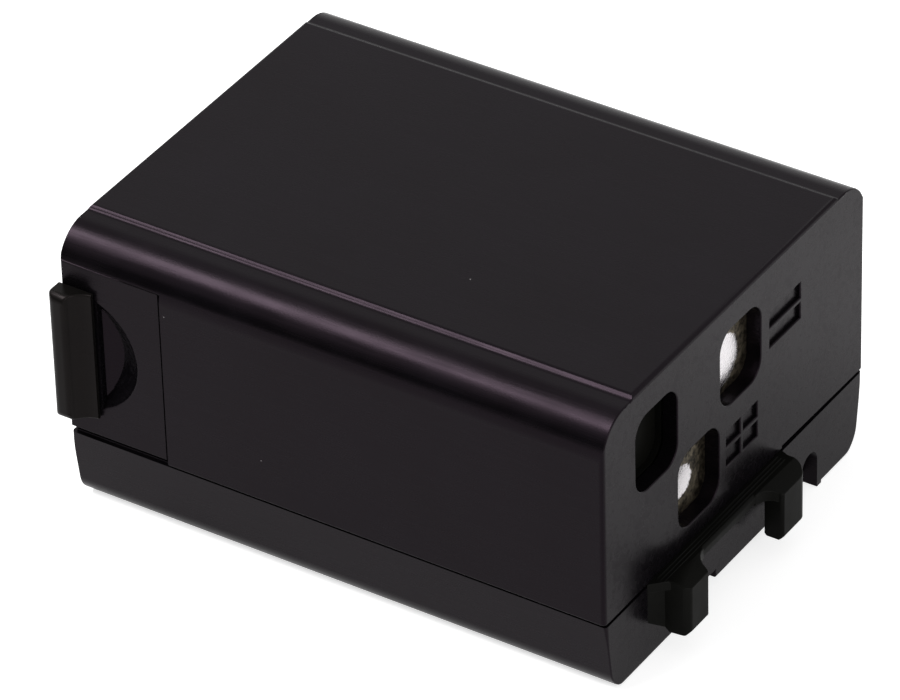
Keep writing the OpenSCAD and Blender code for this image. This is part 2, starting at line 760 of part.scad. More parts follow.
module lead_minus() {
  color("black") wire([
    [cutout_x + 2 * bend, end_y - cutout_in, valley_z], [cutout_x + 2 * bend, end_y, valley_z],
    [cutout_x + 2.5 * bend, wire_y - bend, valley_z + bend / 2],
    [cutout_x + 4 * bend, wire_y, valley_z + bend],
    [valley_x - 8 * bend, wire_y, minus_wire_z + bend], [valley_x - 4 * bend, wire_y, minus_wire_z + bend],
    [valley_x - bend, wire_y - bend, minus_wire_z + bend / 2], [valley_x, end_y - bend, minus_wire_z],
    [valley_x, minus_y + 3 * bend, minus_wire_z], [valley_x, minus_y + 2 * bend, minus_wire_z],
    [valley_x + bend / 2, minus_y + bend / 2, minus_wire_z], [valley_x + 2 * bend, minus_y, minus_wire_z],
    [carrier_x, minus_y, minus_wire_z]
  ]);
}

// Plate behind the cells that the latch springs push against
module spring_bulkhead() {
  color([0.2, 0.2, 0.2]) {
    along_x(bulkhead_x0, bulkhead_x1) intersection() {
      lower_section(wall + seat_gap);
      translate([-backing_y + seat_gap, in_z0]) square([2 * (backing_y - seat_gap), case_h]);
    }
    block([bulkhead_x0, -backing_y + seat_gap, seam_h - eps],
          [bulkhead_x1, backing_y - seat_gap, in_shoulder - shoulder_r]);
    block([bulkhead_x0, -half_w + wall + shoulder_r, seam_h],
          [bulkhead_x1, half_w - wall - shoulder_r, in_shoulder]);
    for (s = [-1, 1]) translate([bulkhead_x0 + eps, s * spring_y, bar_z]) rotate([0, -90, 0])
      cylinder(h = post_l + eps, r = post_r);
  }
}

// Compression spring along X between the slider and the bulkhead, ends closed on flat rings
module spring(s) {
  r = spring_r - spring_wire_r;
  x0 = slider_x1 + spring_wire_r;
  x1 = bulkhead_x0 - spring_wire_r;
  steps = 10;
  n = spring_turns * steps;
  route = [for (i = [0:n])
    let (a = 360 * i / steps) [x0 + (x1 - x0) * i / n, s * spring_y + r * cos(a), bar_z + r * sin(a)]];
  color([0.7, 0.7, 0.72]) coil(route);
}

// Spring wire swept like a cord, with fewer sides
coil_sides = 6;
module coil(p) {
  n = len(p);
  points = [for (i = [0:n - 1])
    let (t = heading(p, i), u = unit(cross(t, [1, 0, 0])), v = cross(t, u))
    each [for (k = [0:coil_sides - 1])
      p[i] + spring_wire_r * (cos(360 * k / coil_sides) * u + sin(360 * k / coil_sides) * v)]];
  skin = [for (i = [0:n - 2], k = [0:coil_sides - 1])
    let (a = i * coil_sides + k, b = i * coil_sides + (k + 1) % coil_sides)
    [a, a + coil_sides, b + coil_sides, b]];
  first = [for (k = [0:coil_sides - 1]) k];
  last = [for (k = [coil_sides - 1:-1:0]) (n - 1) * coil_sides + k];
  polyhedron(points, concat([first], [last], skin));
}

module latch_spring_near() { spring(-1); }
module latch_spring_far() { spring(1); }

// Flat slider that joins both finger bars, with the catch tooth and two spring posts
module latch_slider() {
  y1 = bar_foot + bar_grip;
  color([0.22, 0.22, 0.2]) {
    block([slider_x0, -y1, bar_z - slider_h / 2], [slider_x1, y1, bar_z + slider_h / 2]);
    translate([0, tooth_w / 2, 0]) rotate([90, 0, 0]) linear_extrude(tooth_w)
      polygon([
        [slider_x0 + eps, bar_z - tooth_h / 2], [latch_end - 0.2, bar_z - tooth_h / 2],
        [latch_end - tooth_out, bar_z + tooth_h / 2 - 1.2], [latch_end - tooth_out, bar_z + tooth_h / 2],
        [slider_x0 + eps, bar_z + tooth_h / 2]
      ]);
    for (s = [-1, 1]) translate([slider_x1 - eps, s * spring_y, bar_z]) rotate([0, 90, 0])
      cylinder(h = post_l, r = post_r);
  }
}

// Finger bar on one side, a crest with a rounded outer edge and a flank that falls to the scoop
module bar(s) {
  top = bar_foot + bar_out;
  scale([1, s, 1]) difference() {
    intersection() {
      translate([0, 0, bar_z - bar_h / 2]) linear_extrude(bar_h) difference() {
        hull() {
          translate([bar_x0, bar_foot]) square([bar_w, bar_edge]);
          translate([bar_x0 + bar_r, top - bar_r]) circle(bar_r, $fn = 32);
          translate([bar_x0 + bar_r, top - bar_r]) square([bar_crest, bar_r]);
        }
        translate([bar_x0 + bar_w, bar_foot + bar_edge])
          translate([hollow_r * sin(hollow_turn), hollow_r * cos(hollow_turn)]) circle(hollow_r, $fn = 128);
      }
      translate([bar_x0 - 1, 0, 0]) rotate([90, 0, 90]) linear_extrude(bar_w + 2) hull() {
        translate([bar_foot, bar_z - bar_h / 2]) square([0.5, bar_h]);
        for (z = [-1, 1])
          translate([top - bar_end_r, bar_z + z * (bar_h / 2 - bar_end_r)]) circle(bar_end_r, $fn = 32);
      }
    }
    block([slider_x0, bar_foot - 1, bar_z - slider_h / 2],
          [slider_x1, bar_foot + bar_pocket, bar_z + slider_h / 2]);
  }
}

module latch_bar_near() { color([0.2, 0.2, 0.18]) bar(-1); }
module latch_bar_far() { color([0.2, 0.2, 0.18]) bar(1); }

upper_case();
lower_case();
hook_strip();
contact_plus();
contact_minus();
contact_carrier();
cell_1();
cell_2();
cell_3();
cell_4();
cell_5();
cell_6();
near_link_1();
near_link_2();
near_link_3();
far_link_1();
far_link_2();
near_insulator();
far_insulator();
top_pad();
base_pad();
thermal_cutout();
lead_plus();
lead_cutout();
lead_minus();
spring_bulkhead();
latch_spring_near();
latch_spring_far();
latch_slider();
latch_bar_near();
latch_bar_far();
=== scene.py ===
"""Battery pack for a two-way radio: the visible pieces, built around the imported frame, in metres."""

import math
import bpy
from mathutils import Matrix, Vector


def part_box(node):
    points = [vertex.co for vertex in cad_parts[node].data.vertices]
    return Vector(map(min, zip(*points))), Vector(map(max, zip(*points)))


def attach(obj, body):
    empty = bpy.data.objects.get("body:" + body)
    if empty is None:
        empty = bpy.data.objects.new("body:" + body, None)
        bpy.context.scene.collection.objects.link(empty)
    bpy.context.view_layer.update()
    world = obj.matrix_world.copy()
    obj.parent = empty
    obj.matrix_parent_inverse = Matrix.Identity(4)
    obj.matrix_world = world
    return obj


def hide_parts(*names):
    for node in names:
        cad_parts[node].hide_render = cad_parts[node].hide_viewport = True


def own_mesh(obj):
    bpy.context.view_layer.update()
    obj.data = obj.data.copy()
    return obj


bl_info = {
    "name": "Radio battery pack",
    "version": (1, 0, 0),
    "blender": (4, 5, 0),
    "location": "View3D > Sidebar > Battery",
    "description": "Builds the visible pieces of a two-way radio battery pack around its frame",
    "category": "Object",
}

import bmesh
import bpy
from bpy.props import FloatProperty, FloatVectorProperty, IntProperty, PointerProperty, StringProperty
from mathutils import Matrix, Vector

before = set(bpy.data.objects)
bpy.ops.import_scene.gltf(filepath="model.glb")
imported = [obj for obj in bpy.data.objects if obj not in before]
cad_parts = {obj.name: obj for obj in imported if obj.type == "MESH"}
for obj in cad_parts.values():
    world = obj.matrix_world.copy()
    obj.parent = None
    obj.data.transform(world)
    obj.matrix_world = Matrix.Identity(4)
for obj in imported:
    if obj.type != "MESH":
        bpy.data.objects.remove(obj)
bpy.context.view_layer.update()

MM = 0.001
END_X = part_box("upper_case")[1].x
END_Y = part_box("upper_case")[1].y
SEAM_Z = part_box("upper_case")[0].z
TOP_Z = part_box("upper_case")[1].z
CREST_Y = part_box("latch_bar_far")[1].y


# Colours and nodes


def linear(code):
    """An sRGB hex colour as linear red, green, blue and alpha."""
    parts = [int(code[i : i + 2], 16) / 255 for i in (1, 3, 5)]
    return tuple(c / 12.92 if c <= 0.04045 else ((c + 0.055) / 1.055) ** 2.4 for c in parts) + (1.0,)


def add(tree, kind, inputs=None, **settings):
    """Adds one node with its settings, and sets or links its inputs."""
    node = tree.nodes.new(kind)
    for name, value in settings.items():
        setattr(node, name, value)
    for name, value in (inputs or {}).items():
        socket = node.inputs[name]
        if isinstance(value, bpy.types.NodeSocket):
            tree.links.new(value, socket)
        else:
            socket.default_value = value
    return node


def new_material(name):
    """An empty material and its tree."""
    material = bpy.data.materials.new(name)
    material.use_nodes = True
    material.node_tree.nodes.clear()
    return material, material.node_tree


def per(size_mm):
    """Scale of a texture whose features are that many millimetres apart, on Object coordinates in metres."""
    return 1000.0 / size_mm


# Finishes


def moulded_plastic(
    name,
    dark,
    light,
    roughness,
    specular,
    grain_mm,
    blotch_mm,
    grain_depth=0.012,
    dust=0.0,
    tint="#FFFFFF",
    rub=0.0,
):
    """Injection moulded plastic from a spark eroded tool: near black, a satin gloss broken by a fine even grain,
    with slow changes in tone and gloss from flow and handling."""
    material, tree = new_material(name)
    where = add(tree, "ShaderNodeTexCoord").outputs["Object"]
    blotch = add(
        tree, "ShaderNodeTexNoise", {"Vector": where, "Scale": per(blotch_mm), "Detail": 3.0, "Roughness": 0.55}
    )
    tone = add(tree, "ShaderNodeMapRange", {"Value": blotch.outputs["Fac"], "From Min": 0.3, "From Max": 0.7})
    colour = add(tree, "ShaderNodeMix", {"Factor": tone.outputs["Result"]}, data_type="RGBA")
    colour.inputs[6].default_value = linear(dark)
    colour.inputs[7].default_value = linear(light)
    grain = add(
        tree, "ShaderNodeTexNoise", {"Vector": where, "Scale": per(grain_mm), "Detail": 2.0, "Roughness": 0.6}
    )
    gloss = add(tree, "ShaderNodeTexNoise", {"Vector": where, "Scale": per(blotch_mm * 0.4), "Detail": 4.0})
    rough = add(
        tree,
        "ShaderNodeMapRange",
        {
            "Value": gloss.outputs["Fac"],
            "From Min": 0.3,
            "From Max": 0.7,
            "To Min": roughness - 0.04,
            "To Max": roughness + 0.05,
        },
    )
    base, surface = colour.outputs[2], rough.outputs["Result"]
    if rub:
        # Rub marks from years of sliding on and off the radio: long streaks along X that dull the gloss
        squeezed = add(tree, "ShaderNodeVectorMath", {0: where, 1: (0.03, 1, 1)}, operation="MULTIPLY")
        streak = add(
            tree,
            "ShaderNodeTexNoise",
            {"Vector": squeezed.outputs[0], "Scale": per(0.9), "Detail": 4.0, "Roughness": 0.7},
        )
        worn = add(
            tree,
            "ShaderNodeMapRange",
            {"Value": streak.outputs["Fac"], "From Min": 0.45, "From Max": 0.75, "To Max": rub},
        )
        surface = add(
            tree, "ShaderNodeMath", {0: surface, 1: worn.outputs["Result"]}, operation="ADD"
        ).outputs[0]
    if dust:
        # Pale specks of lint and small knocks, 0.15 mm across, in a few of the cells of a 3.2 mm pattern
        apart, radius = 3.2, 0.0768
        speck = add(tree, "ShaderNodeTexVoronoi", {"Vector": where, "Scale": per(apart), "Randomness": 1.0})
        near = add(
            tree, "ShaderNodeMath", {0: speck.outputs["Distance"], 1: radius / apart}, operation="LESS_THAN"
        )
        pick = add(tree, "ShaderNodeSeparateColor", {"Color": speck.outputs["Color"]})
        few = add(tree, "ShaderNodeMath", {0: pick.outputs["Red"], 1: 1.0 - dust}, operation="GREATER_THAN")
        mask = add(tree, "ShaderNodeMath", {0: near.outputs[0], 1: few.outputs[0]}, operation="MULTIPLY")
        pale = add(tree, "ShaderNodeMix", {"Factor": mask.outputs[0]}, data_type="RGBA")
        tree.links.new(base, pale.inputs[6])
        pale.inputs[7].default_value = linear("#8A8688")
        base = pale.outputs[2]
    bump = add(
        tree,
        "ShaderNodeBump",
        {"Height": grain.outputs["Fac"], "Strength": 0.5, "Distance": grain_depth * MM},
    )
    shader = add(
        tree,
        "ShaderNodeBsdfPrincipled",
        {
            "Base Color": base,
            "Roughness": surface,
            "IOR": 1.3,
            "Specular IOR Level": specular,
            "Specular Tint": linear(tint),
            "Normal": bump.outputs["Normal"],
        },
    )
    add(tree, "ShaderNodeOutputMaterial", {"Surface": shader.outputs["BSDF"]})
    return material


def plated_metal(name, clean, stained, roughness, stain_mm, stain_low, stain_high):
    """Rolled strip with nickel plate: bright and slightly rolled, with brown stains where it has tarnished."""
    material, tree = new_material(name)
    where = add(tree, "ShaderNodeTexCoord").outputs["Object"]
    stain = add(
        tree, "ShaderNodeTexNoise", {"Vector": where, "Scale": per(stain_mm), "Detail": 6.0, "Roughness": 0.65}
    )
    much = add(
        tree,
        "ShaderNodeMapRange",
        {"Value": stain.outputs["Fac"], "From Min": stain_low, "From Max": stain_high},
    )
    colour = add(tree, "ShaderNodeMix", {"Factor": much.outputs["Result"]}, data_type="RGBA")
    colour.inputs[6].default_value = linear(clean)
    colour.inputs[7].default_value = linear(stained)
    rough = add(
        tree,
        "ShaderNodeMapRange",
        {"Value": much.outputs["Result"], "To Min": roughness, "To Max": roughness + 0.3},
    )
    fine = add(tree, "ShaderNodeTexNoise", {"Vector": where, "Scale": per(0.25), "Detail": 3.0})
    bump = add(tree, "ShaderNodeBump", {"Height": fine.outputs["Fac"], "Strength": 0.4, "Distance": 0.01 * MM})
    shader = add(
        tree,
        "ShaderNodeBsdfPrincipled",
        {
            "Base Color": colour.outputs[2],
            "Metallic": 1.0,
            "Roughness": rough.outputs["Result"],
            "Normal": bump.outputs["Normal"],
        },
    )
    add(tree, "ShaderNodeOutputMaterial", {"Surface": shader.outputs["BSDF"]})
    return material


def contact_nickel(name, y, z, radius):
    """Nickel plate over brass, pressed and long in use: wiped bright in its dish, and round it dull with brown and
    grey stains and small bright scratches."""
    material, tree = new_material("Nickel_plate_" + name)
    where = add(tree, "ShaderNodeTexCoord").outputs["Object"]
    part = add(tree, "ShaderNodeSeparateXYZ", {"Vector": where})
    flat = add(tree, "ShaderNodeCombineXYZ", {"Y": part.outputs["Y"], "Z": part.outputs["Z"]})
    away = add(tree, "ShaderNodeVectorMath", {0: flat.outputs[0], 1: (0, y, z)}, operation="DISTANCE")
    ragged = add(
        tree, "ShaderNodeTexNoise", {"Vector": where, "Scale": per(0.7), "Detail": 5.0, "Roughness": 0.7}
    )
    shift = add(
        tree, "ShaderNodeMapRange", {"Value": ragged.outputs["Fac"], "To Min": -0.6 * MM, "To Max": 0.9 * MM}
    )
    reach = add(tree, "ShaderNodeMath", {0: away.outputs["Value"], 1: shift.outputs["Result"]}, operation="ADD")
    stain = add(
        tree,
        "ShaderNodeMapRange",
        {"Value": reach.outputs[0], "From Min": radius - 0.1 * MM, "From Max": radius + 0.1 * MM},
    )
    mottle = add(
        tree, "ShaderNodeTexNoise", {"Vector": where, "Scale": per(0.8), "Detail": 6.0, "Roughness": 0.75}
    )
    patch = add(
        tree, "ShaderNodeMapRange", {"Value": mottle.outputs["Fac"], "From Min": 0.42, "From Max": 0.66}
    )
    dull = add(tree, "ShaderNodeMix", {"Factor": patch.outputs["Result"]}, data_type="RGBA")
    dull.inputs[6].default_value = linear("#1C1813")
    dull.inputs[7].default_value = linear("#7A7160")
    colour = add(
        tree, "ShaderNodeMix", {"Factor": stain.outputs["Result"], 7: dull.outputs[2]}, data_type="RGBA"
    )
    colour.inputs[6].default_value = linear("#F2EEF0")
    rough = add(tree, "ShaderNodeMapRange", {"Value": stain.outputs["Result"], "To Min": 0.2, "To Max": 0.42})
    fine = add(tree, "ShaderNodeTexNoise", {"Vector": where, "Scale": per(0.3), "Detail": 3.0})
    bump = add(tree, "ShaderNodeBump", {"Height": fine.outputs["Fac"], "Strength": 0.5, "Distance": 0.03 * MM})
    shader = add(
        tree,
        "ShaderNodeBsdfPrincipled",
        {
            "Base Color": colour.outputs[2],
            "Metallic": 1.0,
            "Roughness": rough.outputs["Result"],
            "Normal": bump.outputs["Normal"],
        },
    )
    add(tree, "ShaderNodeOutputMaterial", {"Surface": shader.outputs["BSDF"]})
    return material


FINISHES = {}


def make_finishes(look):
    """Every finish of the pack, kept by name."""
    FINISHES.update(
        # Polycarbonate and ABS blend, moulded in a spark eroded tool: a black with a little violet, satin gloss
        case=moulded_plastic(
            "Moulded_PC_ABS",
            look.case_dark,
            look.case_light,
            look.case_roughness,
            look.case_specular,
            0.22,
            14,
            dust=0.1,
            tint="#FFDCF8",
            rub=0.14,
        ),
        # Glass filled nylon, moulded: blacker and a little olive, with a greasy satin gloss
        hook=moulded_plastic("Moulded_glass_filled_nylon", "#060605", "#0A0A08", 0.4, 0.1, 0.35, 6, 0.02),
        # Acetal, moulded and handled: neutral black, smoother than the case
        latch=moulded_plastic("Moulded_acetal", "#080707", "#0C0B0A", 0.3, 0.17, 0.3, 8, 0.01, tint="#FFEEF0"),
        # Plain ABS inside the case, never textured or cleaned
        inner=moulded_plastic("Moulded_plain_ABS", "#070706", "#0B0B09", 0.5, 0.08, 0.5, 10),
        # Rolled nickel strip, spot welded, clean because it is sealed in
        link=plated_metal("Rolled_nickel_strip", "#CFCBC2", "#A8A294", 0.28, 1.5, 0.5, 0.8),
        # Drawn music wire
        spring=plated_metal("Drawn_spring_steel", "#B4B4B6", "#7A7876", 0.25, 1.2, 0.5, 0.8),
        # Shrunk PVC sleeve on the cells: glossy green with faint wrinkles
        jacket=moulded_plastic("Shrunk_PVC_sleeve", "#2F6B3C", "#3B7A47", 0.3, 0.4, 2.5, 12, 0.05),
        # Pressed fibre card: dull buff with short fibres
        card=moulded_plastic("Pressed_fibre_card", "#8E7A55", "#A8926A", 0.8, 0.2, 0.4, 3, 0.05),
        # Closed cell foam: dark grey and dull, with open skins at its cut edges
        foam=moulded_plastic("Closed_cell_foam", "#2E2E2E", "#3C3C3C", 0.9, 0.1, 0.6, 5, 0.12),
        # Moulded phenolic body of the thermal cutout: cream and slightly glossy
        cutout=moulded_plastic("Moulded_phenolic", "#C9C2AE", "#D8D2C0", 0.35, 0.4, 0.5, 6),
        # Extruded PVC on the wires
        red=moulded_plastic("Extruded_PVC_red", "#8E1B18", "#A2231F", 0.35, 0.4, 0.8, 8),
        black=moulded_plastic("Extruded_PVC_black", "#181818", "#202020", 0.35, 0.4, 0.8, 8),
    )


# Meshes


def whole(work):
    """Joins the triangles of every flat face in a bmesh into one face."""
    bmesh.ops.remove_doubles(work, verts=work.verts, dist=2e-6)
    bmesh.ops.dissolve_degenerate(work, edges=work.edges, dist=1e-6)
    bmesh.ops.dissolve_limit(work, angle_limit=math.radians(0.6), verts=work.verts, edges=work.edges)


def clean_copy(node, name):
    """A piece with a copy of a CAD node's mesh."""
    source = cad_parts[node].data
    mesh = bpy.data.meshes.new(name)
    mesh.from_pydata([v.co.copy() for v in source.vertices], [], [list(p.vertices) for p in source.polygons])
    work = bmesh.new()
    work.from_mesh(mesh)
    whole(work)
    work.to_mesh(mesh)
    work.free()
    return placed(mesh, name)


def placed(mesh, name):
    """An object for a mesh, at the origin, in the scene."""
    piece = bpy.data.objects.new(name, mesh)
    bpy.context.scene.collection.objects.link(piece)
    return piece


def baked(piece):
    """Turns what the piece's modifiers make into its own plain mesh."""
    graph = bpy.context.evaluated_depsgraph_get()
    mesh = bpy.data.meshes.new_from_object(piece.evaluated_get(graph), depsgraph=graph)
    piece.modifiers.clear()
    piece.data = mesh
    return piece


def sorted_box(one, other):
    """A box from any two opposite corners."""
    return tuple(map(min, one, other)), tuple(map(max, one, other))


def outward(work, name):
    """An object from a closed bmesh, with its faces turned outwards."""
    bmesh.ops.recalc_face_normals(work, faces=work.faces)
    mesh = bpy.data.meshes.new(name)
    work.to_mesh(mesh)
    work.free()
    return placed(mesh, name)


def closed(name, points, faces):
    """An object from points in millimetres and the faces that close round them."""
    mesh = bpy.data.meshes.new(name)
    mesh.from_pydata([Vector(p) * MM for p in points], [], faces)
    work = bmesh.new()
    work.from_mesh(mesh)
    bpy.data.meshes.remove(mesh)
    return outward(work, name)


def blocks(name, boxes):
    """A mesh of boxes, each given by its lowest and highest corner in millimetres."""
    work = bmesh.new()
    for low, high in boxes:
        low, high = Vector(low) * MM, Vector(high) * MM
        size = high - low
        matrix = Matrix.Translation((low + high) / 2) @ Matrix.Diagonal((*size, 1.0))
        bmesh.ops.create_cube(work, size=1.0, matrix=matrix)
    return outward(work, name)


def extruded(name, outline, axis, start, end):
    """A prism of an outline in millimetres, carried along one axis."""
    n = len(outline)
    spots = [(a, b, c) for c in (start, end) for a, b in outline]
    order = {0: (2, 0, 1), 1: (0, 2, 1), 2: (0, 1, 2)}[axis]
    points = [tuple(spot[i] for i in order) for spot in spots]
    faces = [(i, (i + 1) % n, n + (i + 1) % n, n + i) for i in range(n)]
    faces += [tuple(range(n)), tuple(range(n, 2 * n))]
    return closed(name, points, faces)


def ring(name, low, high, depth):
    """A square ring of boxes that reaches that far in from the outline of a box. In millimetres."""
    (x0, y0, z0), (x1, y1, z1) = low, high
    sides = [
        ((x0 - 1, y0 - 1, z0), (x1 + 1, y0 + depth, z1)),
        ((x0 - 1, y1 - depth, z0), (x1 + 1, y1 + 1, z1)),
        ((x0 - 1, y0 + depth, z0), (x0 + depth, y1 - depth, z1)),
        ((x1 - depth, y0 + depth, z0), (x1 + 1, y1 - depth, z1)),
    ]
    return [blocks(name, [side]) for side in sides]


def cut(piece, cutter, operation="DIFFERENCE"):
    """Cuts a helper shape out of a piece, or joins it on, and removes the helper."""
    change = piece.modifiers.new("cut", "BOOLEAN")
    change.operation, change.object, change.solver = operation, cutter, "EXACT"
    baked(piece)
    bpy.data.objects.remove(cutter)
    return piece


def at(value, place, slack=0.05):
    """True when a length in metres is that many millimetres, give or take the slack."""
    return abs(value / MM - place) < slack


def middle(edge):
    """Middle of an edge."""
    return (edge.verts[0].co + edge.verts[1].co) / 2


def along(edge, axis):
    """True when an edge runs along one axis."""
    run = edge.verts[1].co - edge.verts[0].co
    return abs(run[axis]) > 0.99 * run.length


def ease(piece, *passes, angle=30):
    """Rounds chosen edges of a piece, one pass for each width, test and number of segments, and cleans normals."""
    for width, test, segments in passes:
        work = bmesh.new()
        work.from_mesh(piece.data)
        whole(work)
        bent = [e for e in work.edges if len(e.link_faces) == 2 and e.calc_face_angle() > math.radians(angle)]
        bmesh.ops.bevel(
            work,
            geom=[e for e in bent if test(e)],
            offset=width,
            segments=segments,
            profile=0.5,
            affect="EDGES",
            clamp_overlap=False,
            miter_outer="ARC",
            miter_inner="SHARP",
        )
        bmesh.ops.recalc_face_normals(work, faces=work.faces)
        work.to_mesh(piece.data)
        work.free()
    piece.data.shade_smooth()
    piece.data.set_sharp_from_angle(angle=math.radians(38))
    # Normals that follow the large faces, so that a bevel doesn't shade the flat beside it
    flat = piece.modifiers.new("flat", "WEIGHTED_NORMAL")
    flat.keep_sharp = True
    return baked(piece)


def fit(piece, body, slot, finish, *nodes):
    """Gives a finished piece its finish and body, and hides the CAD nodes that it stands for. The slot is not
    used.
    """
    piece.data.materials.clear()
    piece.data.materials.append(FINISHES[finish])
    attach(piece, body)
    if nodes:
        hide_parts(*nodes)
    return piece


# Geometry nodes


def node_piece(name, build, values):
    """A piece made by a geometry node tree. The values go in by name; the tree ends in real, painted geometry."""
    tree = bpy.data.node_groups.new(name + "_nodes", "GeometryNodeTree")
    tree.interface.new_socket("Geometry", in_out="OUTPUT", socket_type="NodeSocketGeometry")
    for key, (kind, _) in values.items():
        tree.interface.new_socket(key, in_out="INPUT", socket_type="NodeSocket" + kind)
    inside, outside = add(tree, "NodeGroupInput"), add(tree, "NodeGroupOutput")
    solid = add(tree, "GeometryNodeRealizeInstances", {"Geometry": build(tree, inside.outputs)})
    painted = add(
        tree, "GeometryNodeSetMaterial", {"Geometry": solid.outputs[0], "Material": inside.outputs["Material"]}
    )
    tree.links.new(painted.outputs[0], outside.inputs["Geometry"])
    piece = placed(bpy.data.meshes.new(name), name)
    change = piece.modifiers.new("nodes", "NODES")
    change.node_group = tree
    for socket in tree.interface.items_tree:
        if socket.in_out == "INPUT":
            change[socket.identifier] = values[socket.name][1]
    return baked(piece)


def coil(tree, given):
    """A compression spring along X with flat closed ends."""
    route = add(
        tree,
        "GeometryNodeCurveSpiral",
        {
            "Resolution": 24,
            "Rotations": given["Turns"],
            "Start Radius": given["Radius"],
            "End Radius": given["Radius"],
            "Height": 0.01,
        },
    )
    spot = add(tree, "ShaderNodeSeparateXYZ", {"Vector": add(tree, "GeometryNodeInputPosition").outputs[0]})
    share = add(tree, "GeometryNodeSplineParameter").outputs["Factor"]
    rise = add(
        tree,
        "ShaderNodeMapRange",
        {"Value": share, "From Min": 0.11, "From Max": 0.89, "To Max": given["Length"]},
    )
    turned = add(
        tree,
        "ShaderNodeCombineXYZ",
        {"X": rise.outputs["Result"], "Y": spot.outputs["X"], "Z": spot.outputs["Y"]},
    )
    moved = add(tree, "ShaderNodeVectorMath", {0: turned.outputs[0], 1: given["Start"]}, operation="ADD")
    placed_route = add(
        tree, "GeometryNodeSetPosition", {"Geometry": route.outputs[0], "Position": moved.outputs[0]}
    )
    round_wire = add(tree, "GeometryNodeCurvePrimitiveCircle", {"Resolution": 10, "Radius": given["Wire"]})
    swept = add(
        tree,
        "GeometryNodeCurveToMesh",
        {"Curve": placed_route.outputs[0], "Profile Curve": round_wire.outputs[0], "Fill Caps": True},
    )
    return add(tree, "GeometryNodeSetShadeSmooth", {0: swept.outputs[0]}).outputs[0]


def ridges(tree, given):
    """Low round ridges side by side, each along Y."""
    row = add(
        tree,
        "GeometryNodeMeshLine",
        {"Count": given["Count"], "Start Location": given["Start"], "Offset": given["Step"]},
    )
    rod = add(
        tree, "GeometryNodeMeshCylinder", {"Vertices": 12, "Radius": given["Radius"], "Depth": given["Length"]}
    )
    smooth = add(tree, "GeometryNodeSetShadeSmooth", {0: rod.outputs["Mesh"]})
    return add(
        tree,
        "GeometryNodeInstanceOnPoints",
        {"Points": row.outputs[0], "Instance": smooth.outputs[0], "Rotation": (math.pi / 2, 0, 0)},
    ).outputs[0]


# Settings


class CaseSettings(bpy.types.PropertyGroup):
    edge: FloatProperty(
        name="Edge", description="Radius of the moulded edges", default=0.18 * MM, unit="LENGTH"
    )
    step_round: FloatProperty(
        name="Step rounding",
        description="Radius of the arcs in the step beside the plate",
        default=0.8 * MM,
        unit="LENGTH",
    )
    seam_groove: FloatProperty(
        name="Seam groove", description="Height of the groove below the seam", default=0.38 * MM, unit="LENGTH"
    )
    sign_width: FloatProperty(
        name="Sign width", description="Width of the recess of a polarity sign", default=7.1 * MM, unit="LENGTH"
    )
    sign_height: FloatProperty(
        name="Sign height",
        description="Height of the recess of a polarity sign",
        default=5.05 * MM,
        unit="LENGTH",
    )
    sign_depth: FloatProperty(
        name="Sign depth", description="Depth of the recess of a polarity sign", default=0.5 * MM, unit="LENGTH"
    )
    sign_bar: FloatProperty(
        name="Sign bar", description="Width of the bars of a polarity sign", default=0.65 * MM, unit="LENGTH"
    )
    minus_y: FloatProperty(
        name="Minus Y", description="Sideways place of the minus sign", default=11.05 * MM, unit="LENGTH"
    )
    minus_z: FloatProperty(
        name="Minus Z", description="Height of the minus sign", default=30.1 * MM, unit="LENGTH"
    )
    plus_y: FloatProperty(
        name="Plus Y", description="Sideways place of the plus sign", default=1.15 * MM, unit="LENGTH"
    )
    plus_z: FloatProperty(
        name="Plus Z", description="Height of the plus sign", default=19.1 * MM, unit="LENGTH"
    )


class HookSettings(bpy.types.PropertyGroup):
    ridge_count: IntProperty(name="Ridges", description="Number of ridges along the strip", default=3, min=1)
    ridge_step: FloatProperty(
        name="Ridge step", description="Distance from one ridge to the next", default=0.5 * MM, unit="LENGTH"
    )
    ridge_radius: FloatProperty(
        name="Ridge radius", description="Radius of a ridge", default=0.1 * MM, unit="LENGTH"
    )
    ridge_length: FloatProperty(
        name="Ridge length", description="Length of a ridge", default=27.6 * MM, unit="LENGTH"
    )


class SpringSettings(bpy.types.PropertyGroup):
    turns: FloatProperty(
        name="Turns", description="Turns of a latch spring with its closed ends", default=8, min=2
    )
    wire: FloatProperty(name="Wire", description="Radius of the spring wire", default=0.3 * MM, unit="LENGTH")
    keep: FloatProperty(
        name="Keep",
        description="Share of its length that a spring keeps at full travel",
        default=0.906,
        min=0.1,
        max=1,
    )


class ContactSettings(bpy.types.PropertyGroup):
    plus: FloatVectorProperty(
        name="Plus dish",
        description="Y and Z of the dish in the plus contact",
        default=(-9.34 * MM, 18.13 * MM),
        size=2,
    )
    minus: FloatVectorProperty(
        name="Minus dish",
        description="Y and Z of the dish in the minus contact",
        default=(-0.17 * MM, 29.57 * MM),
        size=2,
    )
    plus_dish: FloatProperty(
        name="Plus radius",
        description="Radius of the dish in the plus contact",
        default=2.3 * MM,
        unit="LENGTH",
    )
    minus_dish: FloatProperty(
        name="Minus radius",
        description="Radius of the dish in the minus contact",
        default=3.7 * MM,
        unit="LENGTH",
    )
    dish_depth: FloatProperty(
        name="Dish depth", description="Depth of both dishes", default=0.12 * MM, unit="LENGTH"
    )


class LookSettings(bpy.types.PropertyGroup):
    case_dark: StringProperty(
        name="Case dark", description="Darker tone of the case plastic, sRGB hex", default="#060506"
    )
    case_light: StringProperty(
        name="Case light", description="Lighter tone of the case plastic, sRGB hex", default="#080709"
    )
    case_roughness: FloatProperty(
        name="Case roughness", description="Roughness of the case plastic", default=0.23, min=0, max=1
    )
    case_specular: FloatProperty(
        name="Case specular", description="Specular level of the case plastic", default=0.2, min=0, max=1
    )


